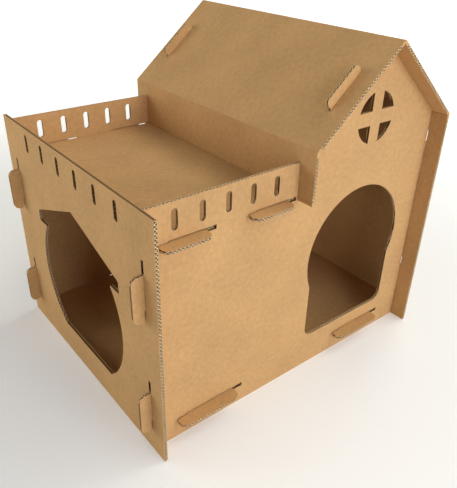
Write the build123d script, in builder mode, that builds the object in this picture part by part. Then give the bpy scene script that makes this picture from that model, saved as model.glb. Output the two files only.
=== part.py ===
from build123d import *
import os
from math import atan2, cos, degrees, hypot, sin, tan

# Cat house slotted together from five sheets of corrugated board.
# Millimetres. +X runs from the terrace to the tower, +Y from front to back, +Z up.
# The origin is on the ground, in the middle of the plan.

os.makedirs("parts", exist_ok=True)

# Board and plan, measured over the outer faces of the walls
board = 4.0
fold_radius = 2.5
terrace_width = 211.0
tower_width = 254.0
house_depth = 337.0
ear = 24.0

# Heights: floor and deck above the ground, the rest above the deck or the eave
floor_height = 29.5
deck_height = 281.5
parapet_height = 43.5
tower_side_height = 62.5
roof_rise = 107.0

# Clearances, and how far cutting tools run past what they cut
slot_clearance = 0.3
shelf_headroom = 1.2
right_wall_gap = 0.8
hook_gap = 1.4
overrun = 10.0

# Hook tabs of the two gable walls, through the left and right walls
wall_tab_neck = 43.5
wall_tab_hook = 14.5
wall_tab_reach = 15.0
wall_slot_room = 17.0
lower_tab_share = 0.2175
upper_tab_left_share = 0.7123
upper_tab_right_share = 0.8014

# Plain tabs of the two gable walls, through the roof slopes
roof_tab_length = 58.5
roof_tab_reach = 12.5
roof_slot_room = 1.2

# Hook tabs of the deck and the floor, through the two gable walls
deck_tab_neck = 47.0
deck_tab_hook = 13.5
deck_slot_room = 14.5
deck_tab_shares = (0.206, 0.774)
floor_tab_neck = 73.0
floor_tab_hook = 15.0
floor_slot_room = 16.0
floor_tab_shares = (0.160, 0.769)
shelf_tab_reach = 17.0

# Rounding of the tabs: of a hook's outer corners and of those beside its neck as shares of its depth
tab_corner = 5.0
hook_corner_share = 0.6
neck_corner_share = 0.3

# Round-ended slots under the top edges of the terrace
peep_slot_width = 8.0
peep_slot_length = 24.6
peep_rise_share = 0.53
front_peep_slots = 5
left_peep_slots = 6

# Horseshoe doorway in the front wall
door_width = 164.0
door_sill = 51.0
door_arch_radius = 90.2
door_arch_height = 173.0
door_corner = 14.0
door_shift = 5.3

# Round window in the gable, with crossed bars
window_radius = 33.4
window_bar = 18.0
window_rise_share = 0.10

# Opening in the left wall: round body, flat sill, pitched top with eaves
den_radius = 109.5
den_middle_share = 0.571
den_sill = 46.0
den_headroom = 23.0
den_eave_width = 220.0
den_eave_depth = 16.5
den_roof_rise = 40.5
den_eave_corner = 4.0

# Places worked out from the sizes above
house_width = terrace_width + tower_width
left_x = -house_width / 2
right_x = house_width / 2
front_y = -house_depth / 2
back_y = house_depth / 2
tower_x = left_x + terrace_width
ridge_x = (tower_x + right_x) / 2
inner_left_x = left_x + board
inner_right_x = right_x - board
inner_front_y = front_y + board
inner_back_y = back_y - board
inner_depth = inner_back_y - inner_front_y
full_depth = house_depth + 2 * ear

top_height = deck_height + parapet_height
eave_height = deck_height + tower_side_height
ridge_height = eave_height + roof_rise
deck_underside = deck_height - board

roof_run = ridge_x - tower_x
roof_angle = atan2(roof_rise, roof_run)
slope_length = hypot(roof_run, roof_rise)
slope_drop = board / cos(roof_angle)
inner_eave_height = eave_height + board * tan(roof_angle) - slope_drop
inner_ridge_height = ridge_height - slope_drop

gable_wall_middles = (front_y + board / 2, back_y - board / 2)
left_tab_heights = (lower_tab_share * top_height, upper_tab_left_share * top_height)
right_tab_heights = (lower_tab_share * top_height, upper_tab_right_share * eave_height)
deck_tab_places = [inner_left_x + share * (tower_x - inner_left_x) for share in deck_tab_shares]
floor_tab_places = [inner_left_x + share * (inner_right_x - inner_left_x) for share in floor_tab_shares]
peep_slot_height = deck_height + peep_rise_share * parapet_height

den_eave_top = deck_underside - den_headroom - den_roof_rise
den_eave_height = den_eave_top - den_eave_depth
den_middle = den_sill + den_middle_share * (den_eave_height - den_sill)


def tab_head(middle, width, height, axis, outward):
    """Adds the head of a hook tab, with its outer corners more rounded than those beside the neck."""
    depth = width if axis == Axis.X else height
    outer, inner = (-1, 0) if outward > 0 else (0, -1)
    with BuildSketch(mode=Mode.PRIVATE) as head:
        with Locations(middle):
            Rectangle(width, height)
        fillet(head.vertices().group_by(axis)[outer], hook_corner_share * depth)
        fillet(head.vertices().group_by(axis)[inner], neck_corner_share * depth)
    add(head.sketch)


def wall_tab(face, outward, neck_middle):
    """Adds a hook tab to a gable wall: a neck through the board at face, its hook hanging down outside."""
    depth = wall_tab_reach - hook_gap
    middle = (face + outward * (hook_gap + depth / 2), neck_middle - wall_tab_hook / 2)
    tab_head(middle, depth, wall_tab_neck + wall_tab_hook, Axis.X, outward)
    root = board + tab_corner
    reach = hook_gap + neck_corner_share * depth
    with Locations((face + outward * (reach - root) / 2, neck_middle)):
        Rectangle(reach + root, wall_tab_neck)


def wall_tab_slots(heights, mode):
    """Draws the upright slots for the gable walls' hook tabs, with room above each neck for the hook."""
    slot_length = wall_tab_neck + wall_slot_room + slot_clearance
    slot_width = board + 2 * slot_clearance
    for wall_y in gable_wall_middles:
        for height in heights:
            with Locations((wall_y, height + (wall_slot_room - slot_clearance) / 2)):
                Rectangle(slot_width, slot_length, mode=mode)


def roof_tab(side):
    """Adds the plain tab that stands square out of one slope of a gable wall."""
    root = board + tab_corner
    height = root + board + roof_tab_reach
    out = height / 2 - root - board
    middle_x = ridge_x + side * (roof_run / 2 + out * sin(roof_angle))
    middle_z = eave_height + roof_rise / 2 + out * cos(roof_angle)
    with Locations((middle_x, middle_z)):
        RectangleRounded(roof_tab_length, height, tab_corner, rotation=-side * degrees(roof_angle))


def shelf_tab(middle, edge_y, outward, neck, hook):
    """Adds a hook tab to the deck or the floor: a neck through a gable wall, its hook turned to the left."""
    depth = shelf_tab_reach - hook_gap
    head_middle = (middle, edge_y + outward * (board + hook_gap + depth / 2))
    tab_head(head_middle, neck + hook, depth, Axis.Y, outward)
    reach = board + hook_gap + neck_corner_share * depth
    with Locations((middle + hook / 2, edge_y + outward * (reach - tab_corner) / 2)):
        Rectangle(neck, reach + tab_corner)


def shelf_tabs(places, neck, hook):
    """Adds a row of hook tabs along the front and back edges of the deck or the floor."""
    for place in places:
        shelf_tab(place, inner_front_y, -1, neck, hook)
        shelf_tab(place, inner_back_y, 1, neck, hook)


def shelf_tab_slots(places, neck, hook, room, shelf_top):
    """Cuts the level slots for such a row, with room above each neck and, for the hook, on its right."""
    slot_length = neck + room + slot_clearance
    slot_height = board + shelf_headroom
    for place in places:
        slot_middle = place + (hook + room - slot_clearance) / 2
        with Locations((slot_middle, shelf_top - board + slot_height / 2)):
            Rectangle(slot_length, slot_height, mode=Mode.SUBTRACT)


def peep_slots(start, length, count):
    """Cuts evenly spaced round-ended slots in a stretch of parapet."""
    for number in range(1, count + 1):
        with Locations((start + length * number / (count + 1), peep_slot_height)):
            SlotOverall(peep_slot_length, peep_slot_width, rotation=90, mode=Mode.SUBTRACT)


def gable_wall():
    """Draws the front or back wall: parapet on the left, gable on the right, tabs and shelf slots."""
    gable_left = tower_x + board + slot_clearance
    parapet_right = tower_x - slot_clearance
    gable_left_height = inner_eave_height + slot_clearance * tan(roof_angle)
    gable_right = inner_right_x - right_wall_gap
    gable_right_height = inner_eave_height + right_wall_gap * tan(roof_angle)
    Polygon(
        (inner_left_x, 0),
        (gable_right, 0),
        (gable_right, gable_right_height),
        (ridge_x, inner_ridge_height),
        (gable_left, gable_left_height),
        (gable_left, deck_underside),
        (parapet_right, deck_underside),
        (parapet_right, top_height),
        (inner_left_x, top_height),
        align=None,
    )
    for height in left_tab_heights:
        wall_tab(left_x, -1, height)
    for height in right_tab_heights:
        wall_tab(right_x, 1, height)
    for side in (-1, 1):
        roof_tab(side)
    shelf_tab_slots(deck_tab_places, deck_tab_neck, deck_tab_hook, deck_slot_room, deck_height)
    shelf_tab_slots(floor_tab_places, floor_tab_neck, floor_tab_hook, floor_slot_room, floor_height)
    peep_slots(inner_left_x, tower_x - inner_left_x, front_peep_slots)


def doorway():
    """Cuts the horseshoe doorway: a round arch on a narrower opening with rounded lower corners."""
    middle = ridge_x - door_shift
    with BuildSketch(mode=Mode.PRIVATE) as opening:
        with Locations((middle, (door_sill + door_arch_height) / 2)):
            jambs = Rectangle(door_width, door_arch_height - door_sill)
        fillet(jambs.vertices().group_by(Axis.Y)[0], door_corner)
        with Locations((middle, door_arch_height)):
            Circle(door_arch_radius)
    add(opening.sketch, mode=Mode.SUBTRACT)


def window():
    """Cuts the round window as four quarters between crossed bars."""
    with BuildSketch(mode=Mode.PRIVATE) as opening:
        with Locations((ridge_x, eave_height + window_rise_share * roof_rise)):
            Circle(window_radius)
            Rectangle(window_bar, 2 * window_radius, mode=Mode.SUBTRACT)
            Rectangle(2 * window_radius, window_bar, mode=Mode.SUBTRACT)
    add(opening.sketch, mode=Mode.SUBTRACT)


def den_opening():
    """Cuts the left wall's opening: a round body on a flat sill under a pitched top with eaves."""
    half_eave = den_eave_width / 2
    with BuildSketch(mode=Mode.PRIVATE) as opening:
        with Locations((0, den_middle)):
            Circle(den_radius)
        with Locations((0, den_sill)):
            Rectangle(2 * den_radius, 2 * den_radius, align=(Align.CENTER, Align.MAX), mode=Mode.SUBTRACT)
        with Locations((0, den_eave_height)):
            Rectangle(2 * den_radius, 2 * den_radius, align=(Align.CENTER, Align.MIN), mode=Mode.SUBTRACT)
        Polygon(
            (-half_eave, den_eave_height),
            (half_eave, den_eave_height),
            (half_eave, den_eave_top),
            (0, den_eave_top + den_roof_rise),
            (-half_eave, den_eave_top),
            align=None,
        )
        fillet(opening.vertices().group_by(Axis.Y)[-2], den_eave_corner)
    add(opening.sketch, mode=Mode.SUBTRACT)


# Left wall: flat sheet with the opening, six peep slots and four tab slots
with BuildPart() as left_wall:
    with BuildSketch(Plane.YZ.offset(left_x)):
        with Locations((0, top_height / 2)):
            Rectangle(full_depth, top_height)
        peep_slots(inner_front_y, inner_depth, left_peep_slots)
        wall_tab_slots(left_tab_heights, Mode.SUBTRACT)
        den_opening()
    extrude(amount=board)
left_wall.part.label = "left_wall"
export_step(left_wall.part, "parts/left_wall.step")

# Front wall: gable wall with doorway and window
with BuildPart() as front_wall:
    with BuildSketch(Plane.XZ.offset(-inner_front_y)):
        gable_wall()
        doorway()
        window()
    extrude(amount=board)
front_wall.part.label = "front_wall"
export_step(front_wall.part, "parts/front_wall.step")

# Back wall: the same sheet, uncut
with BuildPart() as back_wall:
    with BuildSketch(Plane.XZ.offset(-back_y)):
        gable_wall()
    extrude(amount=board)
back_wall.part.label = "back_wall"
export_step(back_wall.part, "parts/back_wall.step")

# Folded sheet: deck, tower side, two roof slopes and right wall, scored and folded in one piece
tower_side_foot = [(tower_x + board, deck_underside), (tower_x, deck_underside)]
deck_strip = [
    (tower_x + board, deck_underside),
    (inner_left_x, deck_underside),
    (inner_left_x, deck_height),
    (tower_x, deck_height),
]
roof_strip = [
    (tower_x, eave_height),
    (ridge_x, ridge_height),
    (right_x, eave_height),
    (right_x, 0),
    (inner_right_x, 0),
    (inner_right_x, inner_eave_height),
    (ridge_x, inner_ridge_height),
    (tower_x + board, inner_eave_height),
]
outer_folds = [(tower_x, eave_height), (ridge_x, ridge_height), (right_x, eave_height)]
deck_fold = (tower_x + board, deck_underside)


def folded_strip(end_y, points, folds, length):
    """Extrudes a stretch of the folded sheet forwards from end_y, with the outside of each fold rounded."""
    with BuildSketch(Plane.XZ.offset(-end_y)) as section:
        Polygon(*points, align=None)
        corners = [section.vertices().sort_by_distance(fold)[0] for fold in folds]
        fillet(corners, fold_radius)
    extrude(section.sketch, amount=length)


def slope_plane(side):
    """Returns the plane of one slope's outer face, from the middle of its eave, with x up the slope."""
    eave_x = ridge_x + side * roof_run
    up_slope = (-side * cos(roof_angle), 0, sin(roof_angle))
    outward = (side * sin(roof_angle), 0, cos(roof_angle))
    return Plane(origin=(eave_x, 0, eave_height), x_dir=up_slope, z_dir=outward)


with BuildPart() as folded_roof_sheet:
    end_length = ear + board
    folded_strip(back_y + ear, tower_side_foot + roof_strip, outer_folds, end_length)
    folded_strip(inner_back_y, deck_strip + roof_strip, outer_folds + [deck_fold], inner_depth)
    folded_strip(inner_front_y, tower_side_foot + roof_strip, outer_folds, end_length)
    with BuildSketch(Plane.XY.offset(deck_underside)):
        shelf_tabs(deck_tab_places, deck_tab_neck, deck_tab_hook)
    extrude(amount=board)
    for side in (-1, 1):
        with BuildSketch(slope_plane(side)):
            for wall_y in gable_wall_middles:
                with Locations((slope_length / 2, wall_y)):
                    Rectangle(roof_tab_length + 2 * roof_slot_room, board + 2 * slot_clearance)
        extrude(amount=board + overrun, both=True, mode=Mode.SUBTRACT)
    with BuildSketch(Plane.YZ.offset(inner_right_x)):
        wall_tab_slots(right_tab_heights, Mode.ADD)
    extrude(amount=board + overrun, both=True, mode=Mode.SUBTRACT)
folded_roof_sheet.part.label = "folded_roof_sheet"
export_step(folded_roof_sheet.part, "parts/folded_roof_sheet.step")

# Raised floor: flat sheet with four hook tabs
with BuildPart() as raised_floor:
    with BuildSketch(Plane.XY.offset(floor_height - board)):
        Rectangle(inner_right_x - inner_left_x, inner_depth)
        shelf_tabs(floor_tab_places, floor_tab_neck, floor_tab_hook)
    extrude(amount=board)
raised_floor.part.label = "raised_floor"
export_step(raised_floor.part, "parts/raised_floor.step")
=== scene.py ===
"""Looks of a cat house that is slotted together from five sheets of corrugated kraft board.

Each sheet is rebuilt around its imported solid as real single-wall board: two liners with a waved
medium between them, open at every cut edge and crushed flat at every fold. Metres, same frame.
"""
import logging
import math
from collections.abc import Callable
from dataclasses import dataclass, field
from enum import Enum
from itertools import combinations, product

import bpy
from mathutils import Matrix, Vector
from mathutils.bvhtree import BVHTree


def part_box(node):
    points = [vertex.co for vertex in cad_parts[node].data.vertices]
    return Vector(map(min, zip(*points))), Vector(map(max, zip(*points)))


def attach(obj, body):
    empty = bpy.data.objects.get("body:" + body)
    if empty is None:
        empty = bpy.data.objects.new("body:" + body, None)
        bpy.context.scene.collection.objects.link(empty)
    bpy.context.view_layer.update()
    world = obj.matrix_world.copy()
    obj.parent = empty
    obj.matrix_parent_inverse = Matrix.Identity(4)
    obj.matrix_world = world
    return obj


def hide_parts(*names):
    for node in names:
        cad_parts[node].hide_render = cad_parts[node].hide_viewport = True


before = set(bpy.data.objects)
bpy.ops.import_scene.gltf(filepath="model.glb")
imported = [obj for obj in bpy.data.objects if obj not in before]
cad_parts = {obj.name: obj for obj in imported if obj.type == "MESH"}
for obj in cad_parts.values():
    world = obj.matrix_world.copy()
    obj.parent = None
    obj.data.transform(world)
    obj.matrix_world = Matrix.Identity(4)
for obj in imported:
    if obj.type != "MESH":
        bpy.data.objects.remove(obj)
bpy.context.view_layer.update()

LOG = logging.getLogger("cat_house")
BODY = "root"
BOARD_MAP = "board"


class Cut(Enum):
    """What a Boolean cut keeps of a piece."""

    AWAY = "DIFFERENCE"
    INSIDE = "INTERSECT"


class FluteWay(Enum):
    """Which way the waves of a sheet run."""

    ALONG_DEPTH = (0.0, 1.0, 0.0)
    UPRIGHT = (0.0, 0.0, 1.0)

    @property
    def direction(self) -> Vector:
        """The unit vector along the waves."""
        return Vector(self.value)


class Face(Enum):
    """Which finish a face of a sheet takes, as its material index."""

    LINER = 0
    # the liners' cut faces, painted dark as the shade along the cut edges
    LINER_EDGE = 1
    # the medium's waved faces and its ends across narrow slots, painted dark as the shade inside the
    # flutes and slots
    MEDIUM = 2
    MEDIUM_EDGE = 3


def deselect() -> None:
    """Leaves object mode with nothing selected."""
    if bpy.context.mode != "OBJECT":
        bpy.ops.object.mode_set(mode="OBJECT")
    bpy.ops.object.select_all(action="DESELECT")


def activate(piece: bpy.types.Object) -> None:
    """Selects one piece alone and makes it the active one.

    Args:
        piece: The object that the next operator acts on.
    """
    deselect()
    piece.select_set(True)
    bpy.context.view_layer.objects.active = piece


def select_vertices(piece: bpy.types.Object, chosen: Callable[[Vector], bool]) -> None:
    """Enters edit mode with some vertices of a piece selected.

    Args:
        piece: The mesh object to edit.
        chosen: Says of a vertex's place whether it is selected.
    """
    activate(piece)
    bpy.ops.object.mode_set(mode="EDIT")
    bpy.ops.mesh.select_mode(type="VERT")
    bpy.ops.mesh.select_all(action="DESELECT")
    bpy.ops.object.mode_set(mode="OBJECT")
    for vertex in piece.data.vertices:
        vertex.select = chosen(vertex.co)
    bpy.ops.object.mode_set(mode="EDIT")


def apply_modifier(piece: bpy.types.Object, kind: str, **settings: object) -> None:
    """Adds a modifier to a piece and applies it.

    Args:
        piece: The mesh object that is changed.
        kind: Blender's name of the modifier's type.
        **settings: The modifier's own settings.
    """
    activate(piece)
    modifier = piece.modifiers.new(kind.lower(), kind)
    for name, value in settings.items():
        setattr(modifier, name, value)
    bpy.ops.object.modifier_apply(modifier=modifier.name)


def cut(piece: bpy.types.Object, tool: bpy.types.Object, kept: Cut) -> None:
    """Cuts a piece by a closed tool shape.

    Args:
        piece: The mesh object that is cut.
        tool: The closed mesh object that cuts it.
        kept: Whether the part outside or inside the tool stays.
    """
    apply_modifier(piece, "BOOLEAN", object=tool, operation=kept.value, solver="EXACT")


def settle(piece: bpy.types.Object, place: Matrix) -> None:
    """Puts a piece in its place and moves that place into its mesh.

    Args:
        piece: The mesh object to place.
        place: Its matrix in the frame.
    """
    activate(piece)
    piece.matrix_world = place
    bpy.ops.object.transform_apply(location=True, rotation=True, scale=True)


def discard(piece: bpy.types.Object) -> None:
    """Deletes a helper object with its mesh.

    Args:
        piece: The mesh object that is no longer needed.
    """
    mesh = piece.data
    bpy.data.objects.remove(piece)
    bpy.data.meshes.remove(mesh)


def copy_of(source: bpy.types.Object, name: str) -> bpy.types.Object:
    """Makes a new object with its own copy of a mesh.

    Args:
        source: The object whose mesh is copied.
        name: The new object's name.

    Returns:
        The new object, linked to the scene.
    """
    twin = bpy.data.objects.new(name, source.data.copy())
    bpy.context.scene.collection.objects.link(twin)
    return twin


@dataclass(frozen=True)
class BoardGrade:
    """Single-wall corrugated board: its papers, its waves and how it folds."""

    liner: float = 0.00050
    medium: float = 0.00065
    pitch: float = 0.0047
    wave_steps: int = 8
    steepness: float = 1.15
    glue_gap: float = 0.00001
    crush: float = 0.0045
    score_width: float = 0.0012
    score_depth: float = 0.0004
    overrun: float = 0.01
    least_face: float = 0.002

    def model_wave(self, core: float) -> bpy.types.Object:
        """Models one wave of the medium, a metre long and as high as the core lets it be.

        Args:
            core: The room between the two liners.

        Returns:
            A thin sheet with its wave along X and its length along Y.
        """
        deselect()
        bpy.ops.mesh.primitive_grid_add(x_subdivisions=self.wave_steps, y_subdivisions=1, size=1.0)
        wave = bpy.context.active_object
        settle(wave, Matrix.Diagonal((self.pitch, 1.0, 1.0, 1.0)))
        swing = (core - self.medium) / 2 - self.glue_gap
        step = self.pitch / self.wave_steps
        for number in range(self.wave_steps + 1):
            column = number * step - self.pitch / 2
            select_vertices(wave, lambda place: abs(place.x - column) < step / 2)
            rise = self.steepness * math.cos(math.tau * number / self.wave_steps)
            lift = swing * max(-1.0, min(1.0, rise))
            bpy.ops.transform.translate(value=(0.0, 0.0, lift))
        deselect()
        return wave


@dataclass
class FlatRun:
    """One flat stretch of board between folds or cut ends."""

    middle: float
    board: float
    normal: Vector
    along: Vector
    low: float
    high: float
    start: float
    end: float
    folded_low: bool = False
    folded_high: bool = False

    @property
    def across(self) -> Vector:
        """The unit vector across the waves."""
        return self.along.cross(self.normal)

    def point(self, across: float, along: float) -> Vector:
        """The place on the board's middle plane at two distances along its own axes."""
        return self.normal * self.middle + self.across * across + self.along * along

    def span(self, grade: BoardGrade) -> tuple[float, float]:
        """Where the waves stand across this stretch: past a cut end, and short of a fold.

        Args:
            grade: The board's papers and waves.

        Returns:
            The two ends, measured across the waves.
        """
        low = self.low + grade.crush if self.folded_low else self.low - grade.overrun
        high = self.high - grade.crush if self.folded_high else self.high + grade.overrun
        return low, high

    def placed(self, across: float, sizes: tuple[float, float, float]) -> Matrix:
        """The matrix of a unit shape that lies in this stretch.

        Args:
            across: Where the shape's origin lies, across the waves.
            sizes: Its sizes across the waves, along them and through the board.

        Returns:
            The shape's place, turn and scale.
        """
        turn = Matrix((self.across, self.along, self.normal)).transposed().to_4x4()
        place = Matrix.Translation(self.point(across, (self.start + self.end) / 2))
        return place @ turn @ Matrix.Diagonal((*sizes, 1.0))

    def model_core(self, grade: BoardGrade) -> bpy.types.Object:
        """Models the block of space between the liners, which is cut out of the solid sheet.

        Args:
            grade: The board's papers and waves.

        Returns:
            A closed block that runs past the sheet's cut ends.
        """
        low, high = self.span(grade)
        length = self.end - self.start + 2 * grade.overrun
        deselect()
        bpy.ops.mesh.primitive_cube_add(size=1.0)
        block = bpy.context.active_object
        sizes = (high - low, length, self.board - 2 * grade.liner)
        settle(block, self.placed((low + high) / 2, sizes))
        return block

    def model_medium(self, grade: BoardGrade) -> bpy.types.Object:
        """Models this stretch's waved medium, untrimmed.

        Args:
            grade: The board's papers and waves.

        Returns:
            A closed waved sheet that runs past the sheet's cut ends.
        """
        low, high = self.span(grade)
        length = self.end - self.start + 2 * grade.overrun
        waves = max(1, round((high - low) / grade.pitch))
        medium = grade.model_wave(self.board - 2 * grade.liner)
        apply_modifier(
            medium,
            "ARRAY",
            count=waves,
            relative_offset_displace=(1.0, 0.0, 0.0),
            use_merge_vertices=True,
            merge_threshold=grade.glue_gap,
        )
        stretch = (high - low) / (waves * grade.pitch)
        settle(medium, self.placed(low + stretch * grade.pitch / 2, (stretch, length, 1.0)))
        apply_modifier(medium, "SOLIDIFY", thickness=grade.medium, offset=0.0)
        return medium


@dataclass
class Fold:
    """A scored fold where two flat stretches meet."""

    runs: tuple[FlatRun, FlatRun]
    at_low: tuple[bool, bool]

    def inner_side(self) -> tuple[Vector, Vector]:
        """Finds the middle of the fold's rounded inner side.

        Returns:
            A place there, and the unit vector from it into the open angle.
        """
        one, other = self.runs
        ways = [run.across if low else -run.across for run, low in zip(self.runs, self.at_low)]
        opening = (ways[0] + ways[1]).normalized()
        lean = one.normal.dot(other.normal)
        share = 1.0 - lean * lean
        meeting = one.normal * ((one.middle - lean * other.middle) / share)
        meeting += other.normal * ((other.middle - lean * one.middle) / share)
        half_angle = ways[0].angle(ways[1]) / 2
        flat_end = one.point(one.low if self.at_low[0] else one.high, 0.0)
        rounded = ways[0].dot(flat_end - meeting) - one.board / 2 / math.tan(half_angle)
        sharp_reach = one.board / 2 / math.sin(half_angle)
        round_reach = rounded * (1.0 / math.cos(half_angle) - math.tan(half_angle))
        return meeting + opening * (sharp_reach + round_reach), opening

    def model_score(self, grade: BoardGrade) -> bpy.types.Object:
        """Models the narrow block that the scoring wheel presses into the inside of the fold.

        Args:
            grade: The board's papers, waves and scores.

        Returns:
            A closed block along the whole fold.
        """
        place, opening = self.inner_side()
        along = self.runs[0].along
        start = min(run.start for run in self.runs)
        end = max(run.end for run in self.runs)
        depth = 2 * grade.score_depth
        turn = Matrix((along.cross(opening), along, opening)).transposed().to_4x4()
        sizes = (grade.score_width, end - start + 2 * grade.overrun, depth, 1.0)
        middle = place + along * ((start + end) / 2)
        deselect()
        bpy.ops.mesh.primitive_cube_add(size=1.0)
        block = bpy.context.active_object
        settle(block, Matrix.Translation(middle) @ turn @ Matrix.Diagonal(sizes))
        return block


@dataclass
class Plane:
    """The faces of a node that lie in one plane."""

    normal: Vector
    offset: float
    area: float = 0.0
    points: list[Vector] = field(default_factory=list)

    def holds(self, normal: Vector, offset: float, slack: float) -> bool:
        """Whether a face with this normal and offset lies in the plane."""
        return self.normal.dot(normal) > 1.0 - slack and abs(self.offset - offset) < slack

    def reach(self, way: Vector) -> tuple[float, float]:
        """The lowest and highest distance of the plane's points along a direction."""
        distances = [way.dot(point) for point in self.points]
        return min(distances), max(distances)


def node_group(
    name: str, inputs: dict[str, tuple[str, object]], outputs: dict[str, str]
) -> bpy.types.NodeTree:
    """Makes an empty shader node group with named sockets.

    Args:
        name: The group's name.
        inputs: Each input's socket type and default value.
        outputs: Each output's socket type.

    Returns:
        The group's node tree.
    """
    tree = bpy.data.node_groups.new(name, "ShaderNodeTree")
    for label, (kind, value) in inputs.items():
        socket = tree.interface.new_socket(name=label, in_out="INPUT", socket_type=kind)
        if value is not None:
            socket.default_value = value
    for label, kind in outputs.items():
        tree.interface.new_socket(name=label, in_out="OUTPUT", socket_type=kind)
    return tree


class Weaver:
    """Adds nodes to one tree and joins them up."""

    noise_middle: float = 0.5

    def __init__(self, tree: bpy.types.NodeTree) -> None:
        """Keeps the tree that is filled."""
        self.tree = tree

    def add(
        self, kind: str, sockets: dict[str | int, object] | None = None, **settings: object
    ) -> bpy.types.Node:
        """Adds a node, sets it up and joins its inputs.

        Args:
            kind: The node's type, without the leading ShaderNode.
            sockets: For an input's name or number, a value or another node's output.
            **settings: The node's own settings.

        Returns:
            The new node.
        """
        node = self.tree.nodes.new(kind if kind.startswith("Node") else "ShaderNode" + kind)
        for name, value in settings.items():
            setattr(node, name, value)
        for name, value in (sockets or {}).items():
            if isinstance(value, bpy.types.NodeSocket):
                self.tree.links.new(value, node.inputs[name])
            else:
                node.inputs[name].default_value = value
        return node

    def sum(self, operation: str, *values: object) -> bpy.types.NodeSocket:
        """Adds a Math node.

        Args:
            operation: Blender's name of the sum.
            *values: Numbers or other nodes' outputs.

        Returns:
            The result's socket.
        """
        return self.add("Math", dict(enumerate(values)), operation=operation).outputs[0]

    def cloud(
        self, vector: bpy.types.NodeSocket, scale: float, detail: float
    ) -> bpy.types.NodeSocket:
        """Adds a noise that swings about zero.

        Args:
            vector: The coordinates that it reads.
            scale: Its clouds per metre.
            detail: How many finer layers it has.

        Returns:
            The noise's socket, from about -0.5 to 0.5.
        """
        noise = self.add("TexNoise", {"Vector": vector, "Scale": scale, "Detail": detail})
        return self.sum("SUBTRACT", noise.outputs[0], self.noise_middle)


@dataclass(frozen=True)
class KraftPattern:
    """The pattern that every kraft paper of the house shares, in clouds and strands per metre."""

    cloud_scale: float = 14.0
    cloud_detail: float = 3.0
    formation_scale: float = 170.0
    formation_detail: float = 4.0
    drift_scale: float = 45.0
    drift_detail: float = 2.0
    strand_scale: tuple[float, float, float] = (420.0, 2600.0, 1.0)
    strand_detail: float = 3.0
    fleck_scale: float = 0.45
    fleck_detail: float = 1.0
    fleck_range: tuple[float, float] = (0.68, 0.78)
    strand_height: float = 0.5
    ripple_height: float = 0.35
    rough_level: float = 0.86
    rough_swing: float = 0.12
    plain_hue: float = 0.5

    def build(self) -> bpy.types.NodeTree:
        """Builds the group that mottles a paper, draws its fibres and shows the waves beneath it, as a
        bump and as painted shade in its colour.

        Returns:
            The group's node tree, with a colour, a height and a roughness as outputs.
        """
        number, colour, vector = "NodeSocketFloat", "NodeSocketColor", "NodeSocketVector"
        strengths = ("Clouds", "Formation", "Drift", "Fibres", "Flecks", "Washboard shade")
        inputs: dict[str, tuple[str, object]] = {"Vector": (vector, None), "Paper": (colour, None)}
        inputs |= {name: (number, 0.0) for name in strengths}
        inputs["Pitch"] = (number, 1.0)
        outputs = {"Colour": colour, "Height": number, "Roughness": number}
        tree = node_group("kraft_paper", inputs, outputs)
        weave = Weaver(tree)
        given = weave.add("NodeGroupInput").outputs
        place = given["Vector"]
        mottle = weave.cloud(place, self.formation_scale, self.formation_detail)
        drawn = weave.add("Mapping", {"Vector": place, "Scale": self.strand_scale}).outputs[0]
        strands = weave.cloud(drawn, 1.0, self.strand_detail)
        ripple = self.add_ripple(weave, place, given["Pitch"])
        swings = {
            "Clouds": weave.cloud(place, self.cloud_scale, self.cloud_detail),
            "Formation": mottle,
            "Fibres": strands,
            "Washboard shade": ripple,
        }
        light: bpy.types.NodeSocket | float = 1.0
        for name, swing in swings.items():
            # the washboard swing lays painted shade of the waves' ripple on the colour; the other swings
            # are the paper's own mottle and fibres
            light = weave.sum("MULTIPLY_ADD", swing, given[name], light)
        flecks = weave.sum("MULTIPLY", self.add_flecks(weave, drawn), given["Flecks"])
        light = weave.sum("SUBTRACT", light, flecks)
        drift = weave.cloud(place, self.drift_scale, self.drift_detail)
        hue = weave.sum("MULTIPLY_ADD", drift, given["Drift"], self.plain_hue)
        tone = {"Color": given["Paper"], "Hue": hue, "Value": light}
        toned = weave.add("HueSaturation", tone).outputs[0]
        raised = weave.sum("MULTIPLY", ripple, self.ripple_height)
        height = weave.sum("MULTIPLY_ADD", strands, self.strand_height, raised)
        rough = weave.sum("MULTIPLY_ADD", mottle, self.rough_swing, self.rough_level)
        weave.add("NodeGroupOutput", {"Colour": toned, "Height": height, "Roughness": rough})
        return tree

    @staticmethod
    def add_ripple(
        weave: Weaver, place: bpy.types.NodeSocket, pitch: bpy.types.NodeSocket
    ) -> bpy.types.NodeSocket:
        """Adds the swing of the waves beneath the liner.

        Args:
            weave: The group that is filled.
            place: Metres across the waves, in its first part.
            pitch: The length of a wave.

        Returns:
            A socket that goes from -1 to 1 and back with each wave.
        """
        across = weave.add("SeparateXYZ", {"Vector": place}).outputs[0]
        turns = weave.sum("MULTIPLY", weave.sum("DIVIDE", across, pitch), math.tau)
        return weave.sum("SINE", turns)

    def add_flecks(self, weave: Weaver, drawn: bpy.types.NodeSocket) -> bpy.types.NodeSocket:
        """Adds the few dark shives that lie among the fibres.

        Args:
            weave: The group that is filled.
            drawn: The coordinates of the strands.

        Returns:
            A socket that is 1 on a fleck and 0 beside it.
        """
        limits = {"Vector": drawn, "Scale": self.fleck_scale, "Detail": self.fleck_detail}
        specks = weave.add("TexNoise", limits).outputs[0]
        least, most = self.fleck_range
        return weave.add("MapRange", {"Value": specks, "From Min": least, "From Max": most}).outputs[0]


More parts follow.
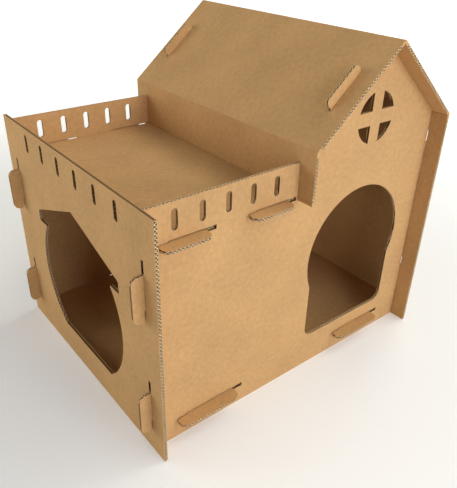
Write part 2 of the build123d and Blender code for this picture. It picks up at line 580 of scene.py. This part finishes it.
@dataclass(frozen=True)
class PaperFinish:
    """A kraft paper's colour and how strongly its fibres show."""

    name: str
    paper: tuple[float, float, float]
    clouds: float = 0.32
    formation: float = 0.36
    drift: float = 0.006
    fibres: float = 0.35
    flecks: float = 0.25
    # washboard: strength of the painted shade that the waves' ripple lays on the colour
    washboard_shade: float = 0.0
    bump: float = 0.35
    bump_height: float = 0.00008
    specular: float = 0.22
    on_board_map: bool = True

    def make(self, kraft_paper: bpy.types.NodeTree, pitch: float) -> bpy.types.Material:
        """Makes the material.

        Args:
            kraft_paper: The shared group of paper fibres.
            pitch: The length of a wave of the board.

        Returns:
            The material, named for the finish.
        """
        material = bpy.data.materials.new(self.name)
        material.use_nodes = True
        weave = Weaver(material.node_tree)
        shader = material.node_tree.nodes["Principled BSDF"]
        if self.on_board_map:
            place = weave.add("UVMap", uv_map=BOARD_MAP).outputs["UV"]
        else:
            place = weave.add("TexCoord").outputs["Object"]
        group = weave.add("Group", node_tree=kraft_paper)
        weave.tree.links.new(place, group.inputs["Vector"])
        settings = {
            "Paper": (*self.paper, 1.0),
            "Clouds": self.clouds,
            "Formation": self.formation,
            "Drift": self.drift,
            "Fibres": self.fibres,
            "Flecks": self.flecks,
            "Washboard shade": self.washboard_shade,
            "Pitch": pitch,
        }
        for name, value in settings.items():
            group.inputs[name].default_value = value
        fibre_height = group.outputs["Height"]
        swell = {"Strength": self.bump, "Distance": self.bump_height, "Height": fibre_height}
        relief = weave.add("Bump", swell)
        weave.tree.links.new(group.outputs["Colour"], shader.inputs["Base Color"])
        weave.tree.links.new(group.outputs["Roughness"], shader.inputs["Roughness"])
        weave.tree.links.new(relief.outputs["Normal"], shader.inputs["Normal"])
        shader.inputs["Specular IOR Level"].default_value = self.specular
        return material


@dataclass
class CorrugatedSheet:
    """A die-cut sheet of board, flat or folded, that stands for one node of the frame."""

    node: str = ""
    flutes: FluteWay = FluteWay.ALONG_DEPTH
    grade: BoardGrade = BoardGrade()
    side_lean: float = 0.6
    end_lean: float = 0.05
    flat_slack: float = 0.00005
    fold_room: float = 0.012
    # narrow_slot: how far across a slot a medium end looks for more board, to be painted dark as shade
    narrow_slot: float = 0.010
    smooth_angle: float = math.radians(35.0)
    flat_face_weight: int = 100

    @property
    def name(self) -> str:
        """The finished piece's name."""
        return self.node + "_board"

    def planes(self) -> list[Plane]:
        """Gathers the node's faces that run with the waves into planes.

        Returns:
            The planes that are large enough to be a side of the board.
        """
        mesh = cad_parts[self.node].data
        found: list[Plane] = []
        for face in mesh.polygons:
            if abs(face.normal.dot(self.flutes.direction)) > self.flat_slack:
                continue
            offset = face.normal.dot(face.center)
            plane = next((p for p in found if p.holds(face.normal, offset, self.flat_slack)), None)
            if plane is None:
                plane = Plane(face.normal.copy(), offset)
                found.append(plane)
            plane.area += face.area
            plane.points.extend(mesh.vertices[index].co for index in face.vertices)
        return [plane for plane in found if plane.area > self.grade.least_face]

    def flat_runs(self, board: float) -> list[FlatRun]:
        """Finds the sheet's flat stretches, each a pair of planes one board apart.

        Args:
            board: The board's thickness.

        Returns:
            The stretches, with no end marked as folded yet.
        """
        runs: list[FlatRun] = []
        along = self.flutes.direction
        for one, other in combinations(self.planes(), 2):
            opposite = one.normal.dot(other.normal) < self.flat_slack - 1.0
            if not opposite or abs(one.offset + other.offset - board) > self.flat_slack:
                continue
            across = along.cross(one.normal)
            lows, highs = zip(one.reach(across), other.reach(across))
            starts, ends = zip(one.reach(along), other.reach(along))
            middle = one.offset - board / 2
            runs.append(
                FlatRun(middle, board, one.normal, along, max(lows), min(highs), min(starts), max(ends))
            )
        return runs

    def folds(self, runs: list[FlatRun]) -> list[Fold]:
        """Finds where two stretches meet in a fold, and marks their ends there.

        Args:
            runs: The sheet's flat stretches.

        Returns:
            The folds between them.
        """
        found: list[Fold] = []
        for one, other in combinations(runs, 2):
            for low, other_low in product((True, False), repeat=2):
                here = one.point(one.low if low else one.high, 0.0)
                there = other.point(other.low if other_low else other.high, 0.0)
                if (here - there).length < self.fold_room:
                    setattr(one, "folded_low" if low else "folded_high", True)
                    setattr(other, "folded_low" if other_low else "folded_high", True)
                    found.append(Fold((one, other), (low, other_low)))
        return found

    def build(self, board: float) -> bpy.types.Object:
        """Models the sheet as liners and medium.

        Args:
            board: The board's thickness.

        Returns:
            One object with the two papers' faces marked by material index.
        """
        solid = copy_of(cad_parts[self.node], self.node + "_solid")
        activate(solid)
        bpy.ops.object.mode_set(mode="EDIT")
        bpy.ops.mesh.select_all(action="SELECT")
        bpy.ops.mesh.remove_doubles(threshold=self.grade.glue_gap)
        deselect()
        solid.data.materials.clear()
        liners = copy_of(solid, self.name)
        runs = self.flat_runs(board)
        for fold in self.folds(runs):
            score = fold.model_score(self.grade)
            cut(liners, score, Cut.AWAY)
            discard(score)
        mediums = []
        for run in runs:
            core = run.model_core(self.grade)
            cut(liners, core, Cut.AWAY)
            discard(core)
            medium = run.model_medium(self.grade)
            cut(medium, solid, Cut.INSIDE)
            mediums.append(medium)
        whole = BVHTree.FromObject(solid, bpy.context.evaluated_depsgraph_get())
        discard(solid)
        self.mark_cut_edges(liners, runs)
        self.join_mediums(liners, mediums, whole)
        self.lay_board_map(liners, runs)
        activate(liners)
        bpy.ops.object.shade_smooth_by_angle(angle=self.smooth_angle)
        apply_modifier(liners, "WEIGHTED_NORMAL", keep_sharp=True, weight=self.flat_face_weight)
        LOG.info("%s: %d stretches, %d faces", self.name, len(runs), len(liners.data.polygons))
        return liners

    def mark_cut_edges(self, liners: bpy.types.Object, runs: list[FlatRun]) -> None:
        """Gives the faces that the die cut across the board their own material index, whose finish is
        painted shade: a dark colour along the cut edges.

        Args:
            liners: The hollowed sheet.
            runs: Its flat stretches.
        """
        for _ in (Face.LINER, Face.LINER_EDGE):
            liners.data.materials.append(None)
        for face in liners.data.polygons:
            near = [run for run in runs if self.miss(run, face.center) < self.fold_room]
            facing = max((abs(face.normal.dot(run.normal)) for run in near), default=1.0)
            # faces that turn away from the board's sides take the cut-edge index, which is painted dark
            # as shade
            face.material_index = (Face.LINER if facing > self.side_lean else Face.LINER_EDGE).value

    @staticmethod
    def miss(run: FlatRun, place: Vector) -> float:
        """How far a place lies from a stretch of board, measured in its section.

        Args:
            run: The flat stretch.
            place: Any place.

        Returns:
            The distance, zero inside the stretch.
        """
        across = run.across.dot(place)
        beside = max(run.low - across, across - run.high, 0.0)
        above = max(abs(run.normal.dot(place) - run.middle) - run.board / 2, 0.0)
        return math.hypot(beside, above)

    def join_mediums(
        self, liners: bpy.types.Object, mediums: list[bpy.types.Object], whole: BVHTree
    ) -> None:
        """Joins the trimmed waves to the liners, with their own material index.

        Ends that face another cut across a narrow slot stay dark, as painted shade inside the slot.

        Args:
            liners: The hollowed sheet, which stays.
            mediums: The waved pieces, which become part of it.
            whole: The sheet before it was hollowed, to look across its slots.
        """
        for _ in (Face.MEDIUM, Face.MEDIUM_EDGE):
            liners.data.materials.append(None)
        activate(liners)
        first = len(liners.data.polygons)
        for medium in mediums:
            medium.select_set(True)
        bpy.ops.object.join()
        for face in liners.data.polygons[first:]:
            facing = face.normal.dot(self.flutes.direction)
            start = face.center + face.normal * self.grade.glue_gap
            outward = self.flutes.direction * math.copysign(1.0, facing)
            # an end that faces more board within a narrow slot's width is painted dark, as the shade
            # inside the slot
            shaded_by_slot = whole.ray_cast(start, outward, self.narrow_slot)[0] is not None
            pale = abs(facing) > self.end_lean and not shaded_by_slot
            face.material_index = (Face.MEDIUM_EDGE if pale else Face.MEDIUM).value

    def lay_board_map(self, sheet: bpy.types.Object, runs: list[FlatRun]) -> None:
        """Lays a map on the sheet: metres across the waves, then metres along them.

        Args:
            sheet: The finished sheet.
            runs: Its flat stretches.
        """
        board_map = sheet.data.uv_layers.new(name=BOARD_MAP)
        for face in sheet.data.polygons:
            run = min(runs, key=lambda one: self.miss(one, face.center))
            side = 1.0 if face.normal.dot(run.normal) > 0.0 else -1.0
            for corner in face.loop_indices:
                place = sheet.data.vertices[sheet.data.loops[corner].vertex_index].co
                across = run.across.dot(place) + run.middle * side
                board_map.data[corner].uv = (across, run.along.dot(place) + side)

    def dress(self, sheet: bpy.types.Object, finishes: dict[Face, bpy.types.Material]) -> None:
        """Puts the finishes on a sheet and ties it to the frame.

        Args:
            sheet: The finished sheet.
            finishes: The material for each kind of face.
        """
        for kind, material in finishes.items():
            sheet.data.materials[kind.value] = material
        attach(sheet, BODY)
        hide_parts(self.node)


@dataclass
class LeftWall(CorrugatedSheet):
    """The flat side wall with the large opening, which runs past the front and back walls."""

    node: str = "left_wall"
    flutes: FluteWay = FluteWay.ALONG_DEPTH


@dataclass
class FrontWall(CorrugatedSheet):
    """The wall with the parapet, the doorway, the gable and the barred window."""

    node: str = "front_wall"
    flutes: FluteWay = FluteWay.UPRIGHT


@dataclass
class BackWall(CorrugatedSheet):
    """The plain wall behind, with the same parapet and gable."""

    node: str = "back_wall"
    flutes: FluteWay = FluteWay.UPRIGHT


@dataclass
class FoldedRoofSheet(CorrugatedSheet):
    """The sheet that folds from the terrace deck up the tower, over the roof and down the right side."""

    node: str = "folded_roof_sheet"
    flutes: FluteWay = FluteWay.ALONG_DEPTH


@dataclass
class RaisedFloor(CorrugatedSheet):
    """The flat floor a little above the ground, with its hook tabs."""

    node: str = "raised_floor"
    flutes: FluteWay = FluteWay.ALONG_DEPTH


@dataclass
class House:
    """The five sheets, the papers that they are made of, and the dark finishes painted as shade on the
    cut liners and inside the flutes and slots.
    """

    grade: BoardGrade = BoardGrade()
    pattern: KraftPattern = KraftPattern()
    # the liner's colour is its own; its washboard term is painted shade of the ripple
    liner: PaperFinish = PaperFinish("kraft_liner", (0.560, 0.330, 0.142), washboard_shade=0.004)
    # the liners' cut faces: dark brown painted as the shadow along the cut edges, not the paper's own
    # colour
    cut_liner_shade: PaperFinish = PaperFinish("painted_shade_on_cut_liners", (0.190, 0.112, 0.052), on_board_map=False)
    # the medium's waved faces: dark brown painted as the shade inside the flutes; the medium paper
    # itself is the pale colour of its cut ends
    medium: PaperFinish = PaperFinish("medium_painted_shade", (0.180, 0.106, 0.048))
    medium_edge: PaperFinish = PaperFinish("cut_medium_edge", (0.900, 0.680, 0.410), on_board_map=False)
    sheets: tuple[type[CorrugatedSheet], ...] = (
        LeftWall,
        FrontWall,
        BackWall,
        FoldedRoofSheet,
        RaisedFloor,
    )

    def build(self) -> None:
        """Models and dresses every sheet."""
        low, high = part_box(LeftWall.node)
        board = high.x - low.x
        kraft_paper = self.pattern.build()
        papers = {
            Face.LINER: self.liner,
            Face.LINER_EDGE: self.cut_liner_shade,
            Face.MEDIUM: self.medium,
            Face.MEDIUM_EDGE: self.medium_edge,
        }
        finishes = {kind: paper.make(kraft_paper, self.grade.pitch) for kind, paper in papers.items()}
        for make_sheet in self.sheets:
            sheet = make_sheet(grade=self.grade)
            sheet.dress(sheet.build(board), finishes)


@dataclass(frozen=True)
class SoftLamp:
    """A large round studio lamp that looks at the house."""

    name: str
    azimuth: float
    elevation: float
    power: float
    tint: tuple[float, float, float] = (1.0, 1.0, 1.0)
    width: float = 2.6
    distance: float = 3.0
    target: tuple[float, float, float] = (0.0, 0.0, 0.2)

    def light(self) -> None:
        """Hangs the lamp in the scene, its azimuth counted from the front over the left side."""
        azimuth, elevation = math.radians(self.azimuth), math.radians(self.elevation)
        level = math.cos(elevation)
        way = Vector((-math.sin(azimuth) * level, -math.cos(azimuth) * level, math.sin(elevation)))
        lamp = bpy.data.lights.new(self.name, "AREA")
        lamp.shape = "DISK"
        lamp.size = self.width
        lamp.energy = self.power
        lamp.color = self.tint
        holder = bpy.data.objects.new(self.name, lamp)
        bpy.context.scene.collection.objects.link(holder)
        holder.location = Vector(self.target) + way * self.distance
        holder.rotation_euler = (-way).to_track_quat("-Z", "Y").to_euler()


@dataclass
class Studio:
    """Pale floor, soft light and the camera of the photograph."""

    frame_pixels: tuple[int, int] = (457, 488)
    focal_pixels: float = 562.93
    sensor_width: float = 36.0
    clip: tuple[float, float] = (0.01, 100.0)
    eye: tuple[float, float, float] = (-0.46366, -0.58438, 0.56470)
    forward: tuple[float, float, float] = (0.54663, 0.66987, -0.50247)
    up: tuple[float, float, float] = (0.29643, 0.40639, 0.86428)
    floor_size: float = 40.0
    floor_colour: tuple[float, float, float] = (0.80, 0.80, 0.80)
    floor_roughness: float = 0.9
    floor_glow: tuple[float, float] = (0.20, 1.0)
    glow_reach: tuple[float, float] = (0.5, 2.2)
    world_light: float = 0.01
    lamps: tuple[SoftLamp, ...] = (
        SoftLamp("front_window", 0.0, 10.0, 76.0, (0.98, 1.0, 1.06)),
        SoftLamp("left_window", 90.0, 10.0, 15.0, (1.0, 1.0, 0.95)),
        SoftLamp("back_left_window", 135.0, 10.0, 52.0, (1.0, 0.99, 0.90)),
        SoftLamp("right_skylight", -90.0, 45.0, 44.0, (1.0, 0.99, 0.90)),
        SoftLamp("front_right_skylight", -45.0, 45.0, 28.0, (1.0, 0.99, 0.90)),
        SoftLamp("overhead_skylight", 0.0, 89.0, 11.0, (1.0, 0.99, 0.90)),
    )

    def build(self) -> None:
        """Sets the stage."""
        self.lay_floor()
        self.fill_world()
        for lamp in self.lamps:
            lamp.light()
        self.place_camera()
        bpy.context.scene.view_settings.view_transform = "Standard"

    def lay_floor(self) -> None:
        """Lays the pale floor, which glows a little for the camera alone so that it comes out white."""
        deselect()
        bpy.ops.mesh.primitive_plane_add(size=self.floor_size)
        floor = bpy.context.active_object
        floor.name = "studio_floor"
        material = bpy.data.materials.new("pale_floor")
        material.use_nodes = True
        shader = material.node_tree.nodes["Principled BSDF"]
        shader.inputs["Base Color"].default_value = (*self.floor_colour, 1.0)
        shader.inputs["Roughness"].default_value = self.floor_roughness
        shader.inputs["Specular IOR Level"].default_value = 0.0
        shader.inputs["Emission Color"].default_value = (1.0, 1.0, 1.0, 1.0)
        weave = Weaver(material.node_tree)
        place = weave.add("TexCoord").outputs["Object"]
        away = weave.add("VectorMath", {0: place}, operation="LENGTH").outputs["Value"]
        near, far = self.glow_reach
        least, most = self.floor_glow
        limits = {"Value": away, "From Min": near, "From Max": far, "To Min": least, "To Max": most}
        rising = weave.add("MapRange", limits, interpolation_type="SMOOTHSTEP").outputs[0]
        seen = weave.add("LightPath").outputs["Is Camera Ray"]
        glow = weave.sum("MULTIPLY", seen, rising)
        weave.tree.links.new(glow, shader.inputs["Emission Strength"])
        floor.data.materials.append(material)

    def fill_world(self) -> None:
        """Lights the room evenly, with a white backdrop for the camera."""
        world = bpy.data.worlds.new("studio_room")
        bpy.context.scene.world = world
        world.use_nodes = True
        weave = Weaver(world.node_tree)
        paths = weave.add("LightPath").outputs
        mirrored = weave.sum("MAXIMUM", paths["Is Glossy Ray"], paths["Is Transmission Ray"])
        seen = weave.sum("MAXIMUM", paths["Is Camera Ray"], mirrored)
        limits = {"Value": seen, "To Min": self.world_light, "To Max": 1.0}
        light = weave.add("MapRange", limits).outputs[0]
        background = world.node_tree.nodes["Background"]
        background.inputs["Color"].default_value = (1.0, 1.0, 1.0, 1.0)
        weave.tree.links.new(light, background.inputs["Strength"])

    def place_camera(self) -> None:
        """Puts the camera where the photograph was taken from."""
        lens = bpy.data.cameras.new("photo_camera")
        lens.sensor_width = self.sensor_width
        lens.lens = self.focal_pixels / max(self.frame_pixels) * lens.sensor_width
        lens.clip_start, lens.clip_end = self.clip
        camera = bpy.data.objects.new("photo_camera", lens)
        bpy.context.scene.collection.objects.link(camera)
        back = -Vector(self.forward).normalized()
        right = Vector(self.up).cross(back).normalized()
        upright = back.cross(right)
        turn = Matrix((right, upright, back)).transposed().to_4x4()
        camera.matrix_world = Matrix.Translation(self.eye) @ turn
        bpy.context.scene.camera = camera


def main() -> None:
    """Builds the house, then its stage."""
    logging.basicConfig(level=logging.INFO, format="%(message)s")
    House().build()
    Studio().build()


if __name__ == "__main__":
    main()
